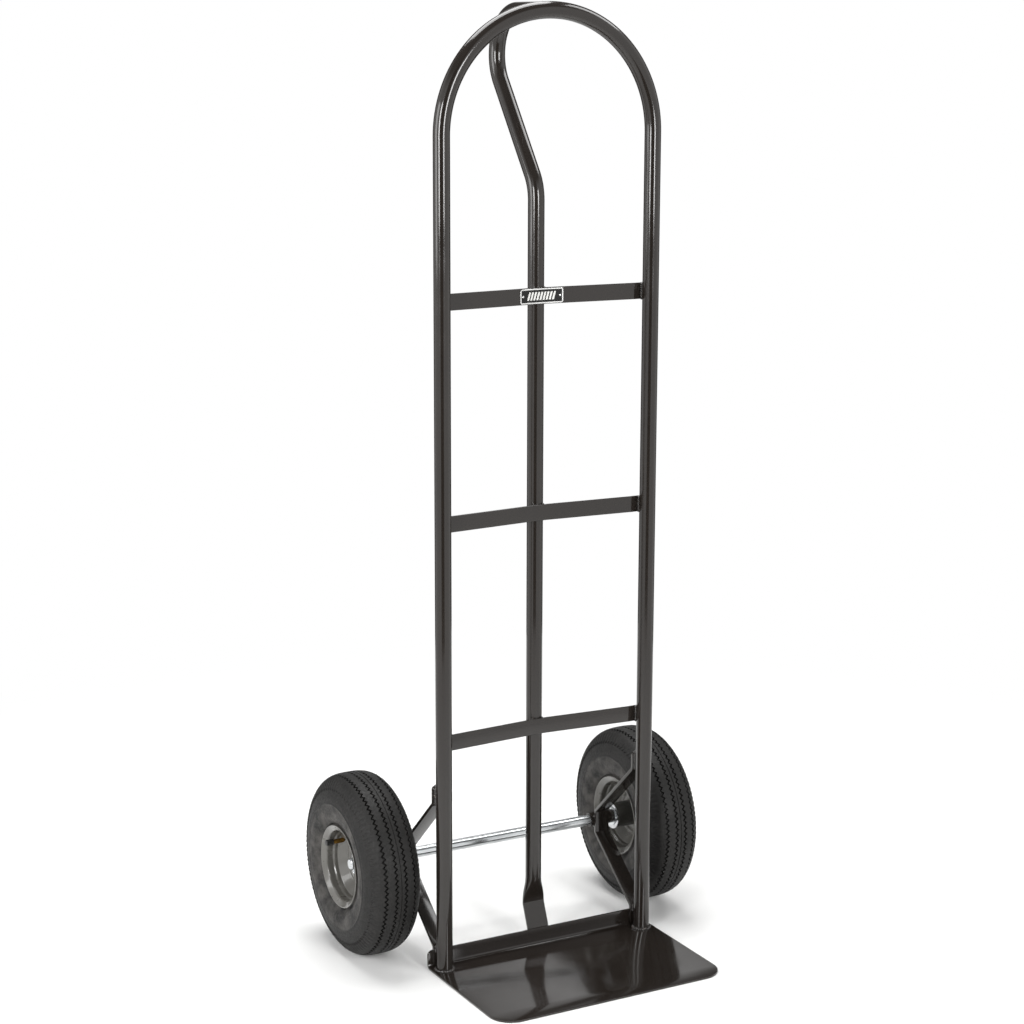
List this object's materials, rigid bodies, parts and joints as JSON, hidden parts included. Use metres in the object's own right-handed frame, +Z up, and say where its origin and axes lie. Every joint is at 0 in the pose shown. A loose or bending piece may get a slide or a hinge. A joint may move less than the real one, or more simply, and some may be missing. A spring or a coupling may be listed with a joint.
{
  "type": "hand truck",
  "caption": "Two-wheeled hand truck with a looped tube frame, P-shaped handle, bent toe plate and pneumatic wheels turning on a fixed axle.",
  "frame": {"origin": "underside of the toe plate, midway between the uprights and in the plane of their centre lines", "axes": "+X to the right, +Y back towards the wheels, +Z up; the toe plate reaches forwards along -Y"},
  "size_m": [0.5274, 0.445, 1.2942],
  "materials": {
    "frame_powder_coat": "gloss brown-black powder coat on mild steel",
    "name_plate_metal": "satin plate with a black panel",
    "zinc_plate": "bright zinc plate",
    "bearing_steel": "bright ground steel",
    "hub_paint": "dark satin enamel",
    "rim_paint": "grey semi-gloss enamel on pressed steel",
    "tyre_rubber": "moulded dark grey rubber",
    "tube_rubber": "smooth black rubber",
    "valve_brass": "dull turned brass",
    "cap_plastic": "moulded black plastic"
  },
  "bodies": {
    "frame": {"frame_loop": "frame_powder_coat", "handle_strut": "frame_powder_coat", "crossbar_top": "frame_powder_coat", "crossbar_middle": "frame_powder_coat", "crossbar_bottom": "frame_powder_coat", "toe_plate": "frame_powder_coat", "name_plate": "name_plate_metal", "axle": "zinc_plate", "axle_bracket_left": "frame_powder_coat", "axle_sleeve_left": "frame_powder_coat", "washer_inner_left": "zinc_plate", "washer_outer_left": "zinc_plate", "cotter_pin_left": "zinc_plate", "bearing_inner_rings_left": "bearing_steel", "axle_bracket_right": "frame_powder_coat", "axle_sleeve_right": "frame_powder_coat", "washer_inner_right": "zinc_plate", "washer_outer_right": "zinc_plate", "cotter_pin_right": "zinc_plate", "bearing_inner_rings_right": "bearing_steel"},
    "wheel_left": {"hub_left": "hub_paint", "rim_outer_left": "rim_paint", "rim_inner_left": "rim_paint", "tyre_left": "tyre_rubber", "inner_tube_left": "tube_rubber", "valve_stem_left": "valve_brass", "valve_cap_left": "cap_plastic", "bearing_outer_rings_left": "bearing_steel", "bearing_shields_left": "bearing_steel"},
    "rolling_set_left": {"bearing_balls_left": "bearing_steel", "bearing_cages_left": "bearing_steel"},
    "wheel_right": {"hub_right": "hub_paint", "rim_outer_right": "rim_paint", "rim_inner_right": "rim_paint", "tyre_right": "tyre_rubber", "inner_tube_right": "tube_rubber", "valve_stem_right": "valve_brass", "valve_cap_right": "cap_plastic", "bearing_outer_rings_right": "bearing_steel", "bearing_shields_right": "bearing_steel"},
    "rolling_set_right": {"bearing_balls_right": "bearing_steel", "bearing_cages_right": "bearing_steel"}
  },
  "joints": [
    {"name": "wheel_left_spin", "type": "hinge", "parent": "frame", "child": "wheel_left", "pos_m": [-0.2223, 0.125, 0.127], "axis": [1, 0, 0], "continuous": true},
    {"name": "balls_left_roll", "type": "hinge", "parent": "frame", "child": "rolling_set_left", "pos_m": [-0.2223, 0.125, 0.127], "axis": [1, 0, 0], "continuous": true},
    {"name": "wheel_right_spin", "type": "hinge", "parent": "frame", "child": "wheel_right", "pos_m": [0.2223, 0.125, 0.127], "axis": [1, 0, 0], "continuous": true},
    {"name": "balls_right_roll", "type": "hinge", "parent": "frame", "child": "rolling_set_right", "pos_m": [0.2223, 0.125, 0.127], "axis": [1, 0, 0], "continuous": true}
  ],
  "couplings": [
    {"joint": "balls_left_roll", "follows": "wheel_left_spin", "ratio": 0.59706},
    {"joint": "balls_right_roll", "follows": "wheel_right_spin", "ratio": 0.59706}
  ]
}
